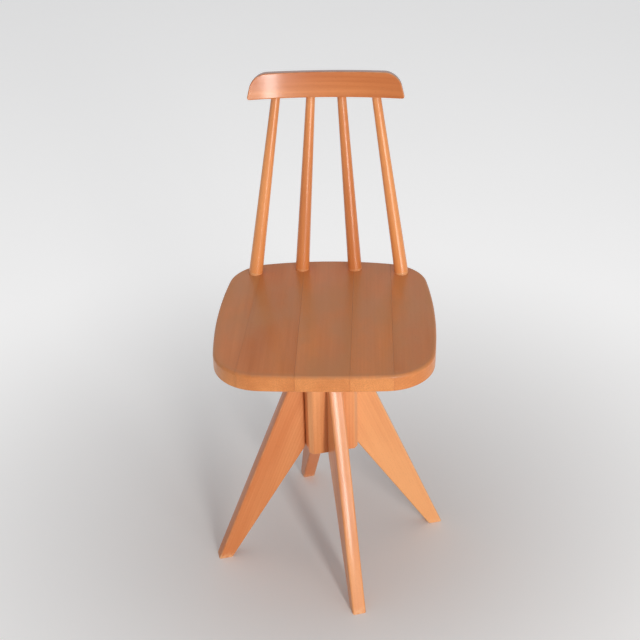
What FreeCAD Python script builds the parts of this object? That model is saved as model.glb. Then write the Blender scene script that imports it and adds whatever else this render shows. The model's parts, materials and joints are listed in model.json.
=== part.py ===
"""Wooden swivel chair: a glued seat on a height screw, four splayed legs and a spindle back.

Millimetres, +Z up, seat facing -Y. The origin is on the floor, at the middle of the rectangle
that the chair covers. Everything is built about the swivel axis and moved to its place at the end.
"""

import FreeCAD, Part
import math
import os

# Place of the swivel axis
axis_y = -11.1

# Seat
seat_height = 450.0
seat_width = 343.0
seat_depth = 365.0
seat_thickness = 27.0
seat_widest_y = -18.0
seat_side_radius = 950.0
seat_front_radius = 1770.0
seat_back_radius = 550.0
seat_front_corner = 76.0
seat_back_corner = 72.0
seat_top_round = 4.5
seat_bottom_round = 3.0
# Glue lines between the staves: x at the seat's front and x at its back
seat_seams = [(-128.5, -111.0), (-40.5, -41.0), (40.0, 42.5), (104.0, 104.0)]

# Hub and legs
base_turn = 15.0
hub_width = 82.0
hub_length = 143.0
hub_corner_cut = 6.5
hub_end_round = 2.0
leg_thickness = 22.0
leg_top_drop = 5.0
leg_top_depth = 17.0
leg_knee_drop = 1.5
leg_reach = 200.0
foot_depth = 24.0
leg_round = 3.0
leg_knee_round = 5.0
leg_top_round = 4.0
foot_round = 1.0

# Leg dowels
dowel_radius = 5.0
dowel_in_hub = 18.0
dowel_in_leg = 22.0
dowel_from_bottom = 28.0
dowel_from_top = 50.0
dowel_end_round = 0.8

# Height screw, a right-hand trapezoidal thread
lead = 8.0
thread_crest_radius = 14.0
thread_depth = 4.5
thread_ridge = 3.8
flank_angle = 15.0
turns_down = 6
turns_up = 6

# Nut let into the hub's top
nut_flange_radius = 31.0
nut_flange_thickness = 4.0
nut_boss_radius = 19.0
nut_boss_length = 28.0
nut_screw_circle = 25.0

# Foot of the height screw
hub_bore_radius = 16.0
spigot_radius = 8.0
bush_length = 22.0
bolt_radius = 5.0
bolt_grip = 18.0
bolt_head_flats = 16.0
bolt_head_height = 6.4
washer_radius = 14.0
washer_thickness = 2.0

# Flange under the seat
flange_side = 120.0
flange_corner = 12.0
flange_thickness = 5.0
flange_screw_spacing = 96.0
collar_radius = 22.0
collar_length = 7.0
journal_radius = 12.0

# Wood screws: shank radius, head radius and length under the head's face
nut_screw = (2.0, 4.0, 22.0)
flange_screw = (2.5, 5.0, 20.0)
screw_slot_width = 1.0

# Back spindles: places of the feet on the seat and of the tops along the rail
inner_foot_x = 44.1
inner_foot_from_back = 28.9
outer_foot_from_side = 49.9
outer_foot_from_back = 42.9
inner_top_x = 24.8
outer_top_x = 80.2
spindle_foot_radius = 11.5
spindle_top_radius = 7.25
foot_sink = 4.0
foot_tenon_radius = 7.0
foot_tenon_depth = 20.0
top_sink = 3.0
top_tenon_radius = 5.0
top_tenon_depth = 20.0

# Crest rail
back_lean = 9.5
back_rise = 289.5
rail_width = 250.5
rail_height = 40.5
rail_thickness = 19.0
rail_front_radius = 370.0
rail_end_lean = 14.0
rail_top_corner = 27.5
rail_bottom_corner = 4.0
rail_round = 2.0

# Clearances
glue_gap = 0.05
socket_end_gap = 0.5
running_gap = 0.08
end_play = 0.3
stop_gap = 4.0
flank_gap = 0.25
crest_gap = 0.3
collar_gap = 4.0

# Derived levels on the axis, top to bottom, with the seat as photographed
seat_bottom = seat_height - seat_thickness
flange_bottom = seat_bottom - flange_thickness
collar_bottom = flange_bottom - collar_length
nut_top = collar_bottom - turns_down * lead - collar_gap
hub_top = nut_top - nut_flange_thickness
hub_bottom = hub_top - hub_length
leg_top = hub_top - leg_top_drop
leg_knee = hub_bottom - leg_knee_drop
dowel_levels = [hub_bottom + dowel_from_bottom, hub_top - dowel_from_top]
nut_bottom = hub_top - nut_boss_length
thread_bottom = nut_bottom - turns_up * lead - stop_gap
spigot_bottom = thread_bottom - bush_length - end_play
washer_bottom = spigot_bottom - washer_thickness
thread_root_radius = thread_crest_radius - thread_depth

# Derived places on the seat
inner_foot_y = seat_depth / 2 - inner_foot_from_back
outer_foot_x = seat_width / 2 - outer_foot_from_side
outer_foot_y = seat_depth / 2 - outer_foot_from_back

vector = FreeCAD.Vector
UP = vector(0, 0, 1)
AXIS_PLACE = vector(0, axis_y, 0)


def cylinder(radius, low, high):
    """Upright cylinder on the swivel axis between two levels."""
    return Part.makeCylinder(radius, high - low, vector(0, 0, low))


def rod(radius, start, direction, length):
    """Cylinder from a point along a direction."""
    return Part.makeCylinder(radius, length, start, direction)


def tapered_rod(start_radius, end_radius, start, direction, length):
    """Cone frustum from a point along a direction."""
    return Part.makeCone(start_radius, end_radius, length, start, direction)


def prism(corners, direction):
    """Straight prism on a closed polygon."""
    return Part.Face(Part.makePolygon(corners + [corners[0]])).extrude(direction)


def turned(shape, degrees):
    """Copy of a shape turned about the swivel axis."""
    copy = shape.copy()
    copy.rotate(vector(0, 0, 0), UP, degrees)
    return copy


def four_around(shape):
    """Four copies of a shape, a quarter turn apart about the swivel axis."""
    return [turned(shape, 90 * quarter) for quarter in range(4)]


def square_block(side, low, high):
    """Upright square block on the axis, and its four upright edges."""
    block = Part.makeBox(side, side, high - low, vector(-side / 2, -side / 2, low))
    return block, [edge for edge in block.Edges if abs(edge.tangentAt(edge.FirstParameter).z) > 0.9]


def edges_at_level(shape, level):
    """Edges of a shape that lie wholly at one height."""
    return [
        edge
        for edge in shape.Edges
        if all(abs(vertex.Point.z - level) < 1e-6 for vertex in edge.Vertexes)
        and abs(edge.BoundBox.ZMax - level) < 1e-3
    ]


def save(name, solids):
    """Write one sub-part, moved from the swivel axis to its place in the frame."""
    shape = solids[0] if len(solids) == 1 else Part.makeCompound(solids)
    shape = shape.copy()
    shape.translate(AXIS_PLACE)
    shape.exportStep(os.path.join("parts", name + ".step"))
    closed = all(solid.isValid() for solid in shape.Solids)
    print(f"{name}: {len(shape.Solids)} solid(s), {shape.Volume / 1000:.2f} cm3, valid {closed}")


# Seat


def corner_arc(first_centre, first_radius, second_centre, second_radius, corner, corner_side):
    """Centre of the arc that rounds two arcs into each other, and where it meets each of them."""
    reach_first = first_radius - corner
    reach_second = second_radius - corner
    across = second_centre.sub(first_centre)
    along = (reach_first**2 - reach_second**2 + across.Length**2) / (2 * across.Length)
    aside = math.sqrt(reach_first**2 - along**2)
    unit = vector(across).normalize()
    sideways = vector(-unit.y, unit.x, 0)
    places = [first_centre + unit * along + sideways * (sign * aside) for sign in (1, -1)]
    centre = max(places, key=lambda place: place.x + corner_side * place.y)
    meets = [
        far + vector(centre.sub(far)).normalize() * radius
        for far, radius in ((first_centre, first_radius), (second_centre, second_radius))
    ]
    middle = centre + vector(meets[0] + meets[1] - centre * 2).normalize() * corner
    return meets[0], middle, meets[1]


def mirrored(point):
    """Point across the seat's centre line."""
    return vector(-point.x, point.y, point.z)


def seat_outline(level):
    """Closed outline of the seat: four long arcs joined by four corner arcs."""
    front_y = -seat_depth / 2
    back_y = seat_depth / 2
    front_centre = vector(0, front_y + seat_front_radius, level)
    back_centre = vector(0, back_y - seat_back_radius, level)
    side_centre = vector(seat_width / 2 - seat_side_radius, seat_widest_y, level)
    front = corner_arc(
        front_centre, seat_front_radius, side_centre, seat_side_radius, seat_front_corner, -1
    )
    back = corner_arc(
        side_centre, seat_side_radius, back_centre, seat_back_radius, seat_back_corner, 1
    )
    widest = vector(seat_width / 2, seat_widest_y, level)
    right = [front, (front[2], widest, back[0]), back]
    left = [tuple(mirrored(point) for point in reversed(arc)) for arc in reversed(right)]
    back_edge = (back[2], vector(0, back_y, level), mirrored(back[2]))
    front_edge = (mirrored(front[0]), vector(0, front_y, level), front[0])
    arcs = right + [back_edge] + left + [front_edge]
    return Part.Wire([Part.Arc(*arc).toShape() for arc in arcs])


def seat_panel():
    """The whole seat before it is cut into staves and drilled."""
    panel = Part.Face(seat_outline(seat_bottom)).extrude(UP * seat_thickness)
    panel = panel.makeFillet(seat_top_round, edges_at_level(panel, seat_height))
    return panel.makeFillet(seat_bottom_round, edges_at_level(panel, seat_bottom))


def seat_staves(drilled):
    """The seat cut along its glue lines, with the holes drilled after gluing."""
    beyond = seat_width
    front_y = -seat_depth / 2
    back_y = seat_depth / 2

    def seam_x(seam, y):
        """Place of a glue line where it crosses a given y."""
        return seam[0] + (seam[1] - seam[0]) * (y - front_y) / (back_y - front_y)

    seams = [(-beyond, -beyond)] + seat_seams + [(beyond, beyond)]
    panel = seat_panel().cut(drilled)
    staves = []
    for left, right in zip(seams, seams[1:]):
        strip = prism(
            [
                vector(seam_x(left, -beyond), -beyond, seat_bottom - 1),
                vector(seam_x(right, -beyond), -beyond, seat_bottom - 1),
                vector(seam_x(right, beyond), beyond, seat_bottom - 1),
                vector(seam_x(left, beyond), beyond, seat_bottom - 1),
            ],
            UP * (seat_thickness + 2),
        )
        staves.append(panel.common(strip).Solids[0])
    return staves


# Back


def rail_place():
    """Placement of the rail's own frame: x along it, y through it and z up its front face."""
    lean = math.radians(back_lean)
    foot = vector(0, inner_foot_y, seat_height)
    up_rail = vector(0, math.sin(lean), math.cos(lean))
    through = vector(0, math.cos(lean), -math.sin(lean))
    corner = foot + up_rail * back_rise - through * (rail_thickness / 2)
    return FreeCAD.Placement(corner, FreeCAD.Rotation(vector(1, 0, 0), -back_lean))


def rail_middle(x):
    """Point half way through the rail's thickness, on its underside, at a distance along it."""
    radius = rail_front_radius + rail_thickness / 2
    y = math.sqrt(radius**2 - x**2) - rail_front_radius
    return rail_place().multVec(vector(x, y, 0))


def rail_blank():
    """Curved rail in its own frame, hollow towards the sitter, before its sockets."""
    front = Part.makeCylinder(rail_front_radius, rail_height)
    back = Part.makeCylinder(rail_front_radius + rail_thickness, rail_height)
    curve = back.cut(front)
    curve.translate(vector(0, -rail_front_radius, 0))
    half = rail_width / 2
    drawn_in = rail_height * math.tan(math.radians(rail_end_lean))
    depth = rail_front_radius
    face = prism(
        [
            vector(-half, -depth / 2, 0),
            vector(half, -depth / 2, 0),
            vector(half - drawn_in, -depth / 2, rail_height),
            vector(drawn_in - half, -depth / 2, rail_height),
        ],
        vector(0, depth, 0),
    )

    def through_edges(level):
        """Corner edges of the face outline that run through the rail."""
        return [
            edge
            for edge in face.Edges
            if all(abs(vertex.Point.z - level) < 1e-6 for vertex in edge.Vertexes)
            and abs(edge.Vertexes[0].Point.x - edge.Vertexes[1].Point.x) < 1e-6
        ]

    face = face.makeFillet(rail_top_corner, through_edges(rail_height))
    face = face.makeFillet(rail_bottom_corner, through_edges(0))
    rail = curve.common(face).Solids[0]
    outline = []
    for surface in rail.Faces:
        if isinstance(surface.Surface, Part.Cylinder) and surface.Surface.Radius >= rail_front_radius:
            outline += surface.Edges
    return rail.makeFillet(rail_round, outline)


def spindle_line(foot_x, foot_y, top_x):
    """Foot point, direction and length of a back spindle between the seat and the rail."""
    foot = vector(foot_x, foot_y, seat_height)
    line = rail_middle(top_x).sub(foot)
    return foot, vector(line).normalize(), line.Length


def spindle_body(foot_x, foot_y, top_x, gap, end_gap):
    """One turned spindle with its two tenons, or with gaps above nought the space it needs."""
    foot, along, length = spindle_line(foot_x, foot_y, top_x)
    taper = (spindle_foot_radius - spindle_top_radius) / length
    low_radius = spindle_foot_radius + taper * foot_sink + gap
    high_radius = spindle_top_radius - taper * top_sink + gap
    low = foot - along * foot_sink
    high = foot + along * (length + top_sink)
    shaft = tapered_rod(low_radius, high_radius, low, along, length + foot_sink + top_sink)
    foot_tenon = foot_tenon_depth - foot_sink + end_gap
    top_tenon = top_tenon_depth - top_sink + end_gap
    lower = rod(foot_tenon_radius + gap, low - along * foot_tenon, along, foot_tenon)
    upper = rod(top_tenon_radius + gap, high, along, top_tenon)
    return shaft.fuse([lower, upper]).removeSplitter()


def spindle_places():
    """Foot x, foot y and top x of the four spindles, left to right."""
    outer = (outer_foot_x, outer_foot_y, outer_top_x)
    inner = (inner_foot_x, inner_foot_y, inner_top_x)
    left = [(-x, y, -top) for x, y, top in (outer, inner)]
    return left + [inner, outer]


# Base


def leg_blank():
    """One leg along +X, before its dowel holes."""
    half_hub = hub_width / 2
    side = leg_thickness / 2
    profile = [
        (leg_reach - foot_depth, 0),
        (leg_reach, 0),
        (half_hub + leg_top_depth, leg_top),
        (half_hub, leg_top),
        (half_hub, leg_knee),
    ]
    leg = prism([vector(x, -side, z) for x, z in profile], vector(0, leg_thickness, 0))

    def cross_edge(x, z):
        """Edge that crosses the leg at one corner of its profile."""
        return [
            edge
            for edge in leg.Edges
            if all(math.hypot(v.Point.x - x, v.Point.z - z) < 1e-6 for v in edge.Vertexes)
        ]

    leg = leg.makeFillet(leg_knee_round, cross_edge(*profile[4]))
    leg = leg.makeFillet(leg_top_round, cross_edge(*profile[2]))
    long_edges = [
        edge
        for edge in leg.Edges
        if abs(edge.Vertexes[0].Point.y - edge.Vertexes[1].Point.y) < 1e-6
        and edge.BoundBox.ZMax > foot_round
    ]
    leg = leg.makeFillet(leg_round, long_edges)
    return leg.makeFillet(foot_round, edges_at_level(leg, 0))


def leg_dowels(gap, end_gap):
    """The dowels of the leg along +X, or with gaps above nought their holes."""
    start = hub_width / 2 - dowel_in_hub - end_gap
    length = dowel_in_hub + dowel_in_leg + 2 * end_gap
    return [
        rod(dowel_radius + gap, vector(start, 0, level), vector(1, 0, 0), length)
        for level in dowel_levels
    ]


def rounded_dowel(dowel):
    """Dowel with its two ends eased."""
    rims = [edge for edge in dowel.Edges if edge.isClosed()]
    return dowel.makeFillet(dowel_end_round, rims)


def hub_blank():
    """Square column with its corners cut flat and its ends eased, before any hole."""
    column, upright = square_block(hub_width, hub_bottom, hub_top)
    hub = column.makeChamfer(hub_corner_cut, upright)
    return hub.makeFillet(hub_end_round, edges_at_level(hub, hub_top) + edges_at_level(hub, hub_bottom))


def hub_block():
    """The column with the screw's bore, the nut's seat, and its dowel and screw holes."""
    bore = cylinder(hub_bore_radius, hub_bottom - 1, hub_top)
    nut_seat = cylinder(nut_boss_radius + glue_gap, nut_bottom - socket_end_gap, hub_top + 1)
    holes = [bore, nut_seat] + nut_screw_places(pilot_hole(nut_screw))
    for hole in leg_dowels(glue_gap, socket_end_gap):
        holes += four_around(turned(hole, base_turn))
    return turned(hub_blank(), base_turn).cut(holes)


# Screws


def wood_screw(size):
    """Slotted countersunk wood screw, head uppermost with its face at the origin."""
    shank, head, length = size
    sink = head - shank
    tip = 2 * shank
    body = cylinder(shank, tip - length, -sink)
    cone = Part.makeCone(shank, head, sink, vector(0, 0, -sink))
    point = Part.makeCone(0, shank, tip, vector(0, 0, -length))
    slot = Part.makeBox(2 * head, screw_slot_width, sink / 2, vector(-head, -screw_slot_width / 2, -sink / 2))
    return body.fuse([cone, point]).removeSplitter().cut(slot)


def countersink(size):
    """Hole for the head and shank of a wood screw through a plate, face at the origin."""
    shank, head, length = size
    sink = head - shank
    cone = Part.makeCone(shank + glue_gap, head + glue_gap, sink, vector(0, 0, -sink))
    return cone.fuse(cylinder(shank + glue_gap, -length, -sink)).removeSplitter()


def pilot_hole(size):
    """Hole for the shank of a wood screw in the wood under a plate, face at the origin."""
    shank, _, length = size
    return cylinder(shank + glue_gap, -length - socket_end_gap, 0)


def nut_screw_places(shape):
    """Copies of a shape at the nut's four screws, head up."""
    placed = shape.copy()
    placed.translate(vector(nut_screw_circle, 0, nut_top))
    return four_around(turned(placed, base_turn + 45))


def flange_screw_places(shape):
    """Copies of a shape at the seat flange's four screws, head down."""
    placed = shape.copy()
    placed.rotate(vector(0, 0, 0), vector(1, 0, 0), 180)
    placed.translate(vector(flange_screw_spacing / 2, flange_screw_spacing / 2, flange_bottom))
    return four_around(placed)


# Height screw and nut


def thread_width(radius):
    """Axial width of the screw's ridge at a radius."""
    middle = (thread_crest_radius + thread_root_radius) / 2
    return thread_ridge - 2 * math.tan(math.radians(flank_angle)) * (radius - middle)


def helical_turns(inner, inner_width, outer, outer_width, low, count):
    """Trapezoidal turns about the axis, the first one starting on a level along +X.

    Each is a little over one turn, so that neighbours overlap and cut as one groove.
    """
    overlap = 1.01
    helix = Part.makeHelix(lead, lead * overlap, inner)
    helix.translate(vector(0, 0, low))
    corners = [
        vector(inner, 0, low - inner_width / 2),
        vector(outer, 0, low - outer_width / 2),
        vector(outer, 0, low + outer_width / 2),
        vector(inner, 0, low + inner_width / 2),
    ]
    outline = Part.makePolygon(corners + [corners[0]])
    first = Part.Wire(helix).makePipeShell([outline], True, True)
    turns = []
    for number in range(count):
        turn = first.copy()
        turn.translate(vector(0, 0, number * lead))
        turns.append(turn)
    return turns


def height_screw():
    """Threaded screw with its journal for the flange and its spigot for the guide bush."""
    outside = thread_crest_radius + crest_gap
    first_groove = thread_bottom - lead / 2
    screw = cylinder(thread_crest_radius, thread_bottom, collar_bottom)
    for groove in helical_turns(
        thread_root_radius,
        lead - thread_width(thread_root_radius),
        outside,
        lead - thread_width(outside),
        first_groove,
        math.ceil((collar_bottom - first_groove) / lead) + 1,
    ):
        screw = screw.cut(groove)
    journal = cylinder(journal_radius, collar_bottom, seat_bottom)
    spigot = cylinder(spigot_radius, spigot_bottom, thread_bottom)
    tapping = cylinder(
        bolt_radius + glue_gap, spigot_bottom, spigot_bottom + bolt_grip + socket_end_gap
    )
    return screw.fuse([journal, spigot]).cut(tapping)


def screw_nut():
    """Flanged nut whose thread meets the screw's, with clearance on every side."""
    bore = thread_root_radius + crest_gap
    outer = thread_crest_radius + crest_gap
    below = math.floor((nut_bottom - thread_bottom) / lead) - 1
    nut = cylinder(nut_boss_radius, nut_bottom, hub_top)
    nut = nut.fuse(cylinder(nut_flange_radius, hub_top, nut_top))
    nut = nut.cut([cylinder(bore, nut_bottom - 1, nut_top + 1)] + nut_screw_places(countersink(nut_screw)))
    for ridge in helical_turns(
        thread_root_radius,
        thread_width(thread_root_radius) + 2 * flank_gap,
        outer,
        thread_width(outer) + 2 * flank_gap,
        thread_bottom + below * lead,
        math.ceil((nut_top - nut_bottom) / lead) + 3,
    ):
        nut = nut.cut(ridge)
    return nut


def seat_flange():
    """Square plate with a collar for the height screw's journal."""
    plate, upright = square_block(flange_side, flange_bottom, seat_bottom)
    plate = plate.makeFillet(flange_corner, upright)
    collar = cylinder(collar_radius, collar_bottom, flange_bottom)
    hole = cylinder(journal_radius + glue_gap, collar_bottom - 1, seat_bottom + 1)
    return plate.fuse(collar).cut([hole] + flange_screw_places(countersink(flange_screw)))


def guide_bush():
    """Bush that runs in the hub's bore and round the screw's spigot."""
    low = spigot_bottom + end_play / 2
    high = low + bush_length
    bush = cylinder(hub_bore_radius - running_gap, low, high)
    return bush.cut(cylinder(spigot_radius + running_gap, low - 1, high + 1))


def stop_washer():
    """Washer that holds the bush on the spigot."""
    washer = cylinder(washer_radius, washer_bottom, spigot_bottom)
    return washer.cut(cylinder(bolt_radius + end_play, washer_bottom - 1, spigot_bottom + 1))


def stop_bolt():
    """Hexagon bolt up into the screw's foot."""
    corner = bolt_head_flats / math.sqrt(3)
    head_bottom = washer_bottom - bolt_head_height
    corners = [
        vector(corner * math.cos(math.radians(60 * k)), corner * math.sin(math.radians(60 * k)), head_bottom)
        for k in range(6)
    ]
    head = prism(corners, UP * bolt_head_height)
    return head.fuse(cylinder(bolt_radius, washer_bottom, spigot_bottom + bolt_grip)).removeSplitter()


def build():
    """Build and write every sub-part."""
    os.makedirs("parts", exist_ok=True)

    save("hub_block", [hub_block()])
    leg = leg_blank().cut(leg_dowels(glue_gap, socket_end_gap))
    for name, quarter in (("right", 0), ("back", 1), ("left", 2), ("front", 3)):
        save("leg_" + name, [turned(leg, base_turn + 90 * quarter)])
    dowels = []
    for dowel in leg_dowels(0, 0):
        dowels += four_around(turned(rounded_dowel(dowel), base_turn))
    save("leg_dowels", dowels)
    save("screw_nut", [screw_nut()])
    save("nut_screws", nut_screw_places(wood_screw(nut_screw)))

    save("guide_bush", [guide_bush()])

    sockets = [spindle_body(*place, glue_gap, socket_end_gap) for place in spindle_places()]
    pilots = flange_screw_places(pilot_hole(flange_screw))
    for number, stave in enumerate(seat_staves(sockets + pilots), 1):
        save(f"seat_stave_{number}", [stave])
    save("seat_flange", [seat_flange()])
    save("flange_screws", flange_screw_places(wood_screw(flange_screw)))
    save("height_screw", [height_screw()])
    save("stop_washer", [stop_washer()])
    save("stop_bolt", [stop_bolt()])

    for number, place in enumerate(spindle_places(), 1):
        save(f"back_spindle_{number}", [spindle_body(*place, 0, 0)])
    rail = rail_blank()
    rail.Placement = rail_place()
    save("crest_rail", [rail.cut(sockets)])


build()
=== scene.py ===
"""A lacquered wooden swivel chair, dressed over its frame.

Metres, +Z up, seat facing -Y, as in the frame. Each wooden piece that shows is modelled here, and
carries its grain in its vertices. The metal of the height screw keeps the frame's shapes.
"""

import json
import logging
import math
from collections.abc import Callable, Iterable, Sequence
from dataclasses import dataclass, field
from enum import Enum

import bmesh
import bpy
from mathutils import Matrix, Vector


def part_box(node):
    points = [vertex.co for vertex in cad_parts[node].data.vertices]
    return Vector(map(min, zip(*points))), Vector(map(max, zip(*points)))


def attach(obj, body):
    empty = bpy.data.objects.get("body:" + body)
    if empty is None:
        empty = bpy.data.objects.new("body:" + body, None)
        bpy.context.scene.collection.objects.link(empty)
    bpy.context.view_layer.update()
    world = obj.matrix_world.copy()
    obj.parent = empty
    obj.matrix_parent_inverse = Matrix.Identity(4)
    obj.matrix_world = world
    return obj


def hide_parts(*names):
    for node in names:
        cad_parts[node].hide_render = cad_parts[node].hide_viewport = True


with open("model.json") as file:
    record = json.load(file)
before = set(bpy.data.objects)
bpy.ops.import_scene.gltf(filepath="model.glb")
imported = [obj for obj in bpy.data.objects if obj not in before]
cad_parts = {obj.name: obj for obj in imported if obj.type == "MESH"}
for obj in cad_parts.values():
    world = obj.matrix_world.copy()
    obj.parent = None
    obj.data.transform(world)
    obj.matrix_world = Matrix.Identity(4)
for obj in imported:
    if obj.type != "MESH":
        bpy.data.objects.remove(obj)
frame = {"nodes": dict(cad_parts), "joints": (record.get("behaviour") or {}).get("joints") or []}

log = logging.getLogger("chair")

MM = 0.001
SAME_PLACE = 0.01 * MM
CUT_REACH = 0.001 * MM
FLAT = 0.99
UP = Vector((0, 0, 1))
Colour = tuple[float, float, float]
Socket = bpy.types.NodeSocket
Mesh = bmesh.types.BMesh
Edge = bmesh.types.BMEdge
Vert = bmesh.types.BMVert
GrainMap = Callable[[Vector], Vector]
Gauge = Callable[[Vector], float]

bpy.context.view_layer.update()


class Body(Enum):
    """The frame's bodies that the wooden pieces ride on."""

    BASE = "base"
    SEAT = "seat"


class Layer(Enum):
    """Values that a wooden mesh carries in its vertices for its finish."""

    GRAIN = "grain"
    ARRIS = "arris"
    END = "end_grain"
    RIM = "rim"
    SEAM = "seam"
    # Faces painted darker: painted shade on the rail's narrow faces, and a darker, browner top on the seat.
    DARKER_FACE = "darker_face"
    TONE = "tone"


# Finishes


class Nodes:
    """Node tree, with short calls that add and join its nodes."""

    def __init__(self, tree: bpy.types.NodeTree) -> None:
        """Empty a tree, ready to be filled."""
        self.tree = tree
        self.tree.nodes.clear()

    def node(self, kind: str, **settings: object) -> bpy.types.Node:
        """Add a node.

        Args:
            kind: Blender's name for the node type.
            **settings: Properties to set on it.

        Returns:
            The new node.
        """
        made = self.tree.nodes.new(kind)
        for key, value in settings.items():
            setattr(made, key, value)
        return made

    def feed(self, target: Socket, value: "Socket | float | Sequence[float]") -> None:
        """Join a socket to an input, or set the input to a value.

        Args:
            target: Input socket.
            value: Output socket, number or vector.
        """
        if isinstance(value, Socket):
            self.tree.links.new(value, target)
        else:
            target.default_value = value

    def calc(self, operation: str, first: "Socket | float", second: "Socket | float" = 0.0) -> Socket:
        """Add a Math node.

        Args:
            operation: Blender's name for the operation.
            first: First operand.
            second: Second operand, where the operation has one.

        Returns:
            Its output.
        """
        made = self.node("ShaderNodeMath", operation=operation)
        self.feed(made.inputs[0], first)
        self.feed(made.inputs[1], second)
        return made.outputs[0]

    def vector(self, operation: str, first: Socket, second: "Socket | Sequence[float]") -> Socket:
        """Add a Vector Math node with a vector result.

        Args:
            operation: Blender's name for the operation.
            first: First vector.
            second: Second vector.

        Returns:
            Its output.
        """
        made = self.node("ShaderNodeVectorMath", operation=operation)
        self.feed(made.inputs[0], first)
        self.feed(made.inputs[1], second)
        return made.outputs["Vector"]

    def span(self, value: Socket, low: float, high: float, start: float = 0.0, end: float = 1.0) -> Socket:
        """Map one range of a value to another, smoothly and held at its ends.

        Args:
            value: Value to map.
            low: Value that gives start.
            high: Value that gives end.
            start: Result at low.
            end: Result at high.

        Returns:
            The mapped value.
        """
        made = self.node("ShaderNodeMapRange", interpolation_type="SMOOTHSTEP")
        for socket, number in zip(made.inputs[:5], (value, low, high, start, end)):
            self.feed(socket, number)
        return made.outputs[0]

    def noise(self, place: Socket, stretch: Sequence[float], detail: float = 2.0) -> Socket:
        """Noise with its own scale along each axis.

        Args:
            place: Coordinates in metres.
            stretch: Waves in a metre along each axis.
            detail: Octaves.

        Returns:
            Noise from 0 to 1.
        """
        made = self.node("ShaderNodeTexNoise")
        self.feed(made.inputs["Vector"], self.vector("MULTIPLY", place, stretch))
        made.inputs["Scale"].default_value = 1.0
        made.inputs["Detail"].default_value = detail
        return made.outputs[0]

    def mix(self, share: "Socket | float", first: "Socket | Colour", second: "Socket | Colour") -> Socket:
        """Mix two colours.

        Args:
            share: Share of the second colour.
            first: First colour.
            second: Second colour.

        Returns:
            The mixed colour.
        """
        made = self.node("ShaderNodeMix", data_type="RGBA")
        self.feed(made.inputs[0], share)
        for socket, colour in ((made.inputs[6], first), (made.inputs[7], second)):
            self.feed(socket, colour if isinstance(colour, Socket) else (*colour, 1.0))
        return made.outputs[2]

    def seen(self) -> Socket:
        """1 for the eye, for gloss and for what shows through, and 0 for light."""
        paths = self.node("ShaderNodeLightPath").outputs
        seen = self.calc("MAXIMUM", paths["Is Camera Ray"], paths["Is Glossy Ray"])
        return self.calc("MAXIMUM", seen, paths["Is Transmission Ray"])


class Shader(Nodes):
    """Node tree of one material."""

    def __init__(self, name: str) -> None:
        """Start a material with a Principled shader on its output.

        Args:
            name: Name of the material.
        """
        self.material = bpy.data.materials.new(name)
        self.material.use_nodes = True
        super().__init__(self.material.node_tree)
        self.surface = self.node("ShaderNodeBsdfPrincipled")
        self.feed(self.node("ShaderNodeOutputMaterial").inputs["Surface"], self.surface.outputs["BSDF"])

    def layer(self, layer: Layer) -> Socket:
        """Value of one of a wooden mesh's layers."""
        made = self.node("ShaderNodeAttribute", attribute_name=layer.value)
        return made.outputs["Vector" if layer is Layer.GRAIN else "Fac"]

    def bump(self, height: Socket, depth: float) -> None:
        """Raise the surface by a height map.

        Args:
            height: Height from 0 to 1.
            depth: Height of 1, in metres.
        """
        made = self.node("ShaderNodeBump")
        made.inputs["Distance"].default_value = depth
        self.feed(made.inputs["Height"], height)
        self.feed(self.surface.inputs["Normal"], made.outputs[0])

    def constants(self, **values: float) -> None:
        """Set the shader's own sockets.

        Args:
            **values: Socket names in lower case with underscores, and their values.
        """
        for key, value in values.items():
            name = key.replace("_", " ").title().replace("Ior", "IOR")
            self.surface.inputs[name].default_value = value


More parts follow.
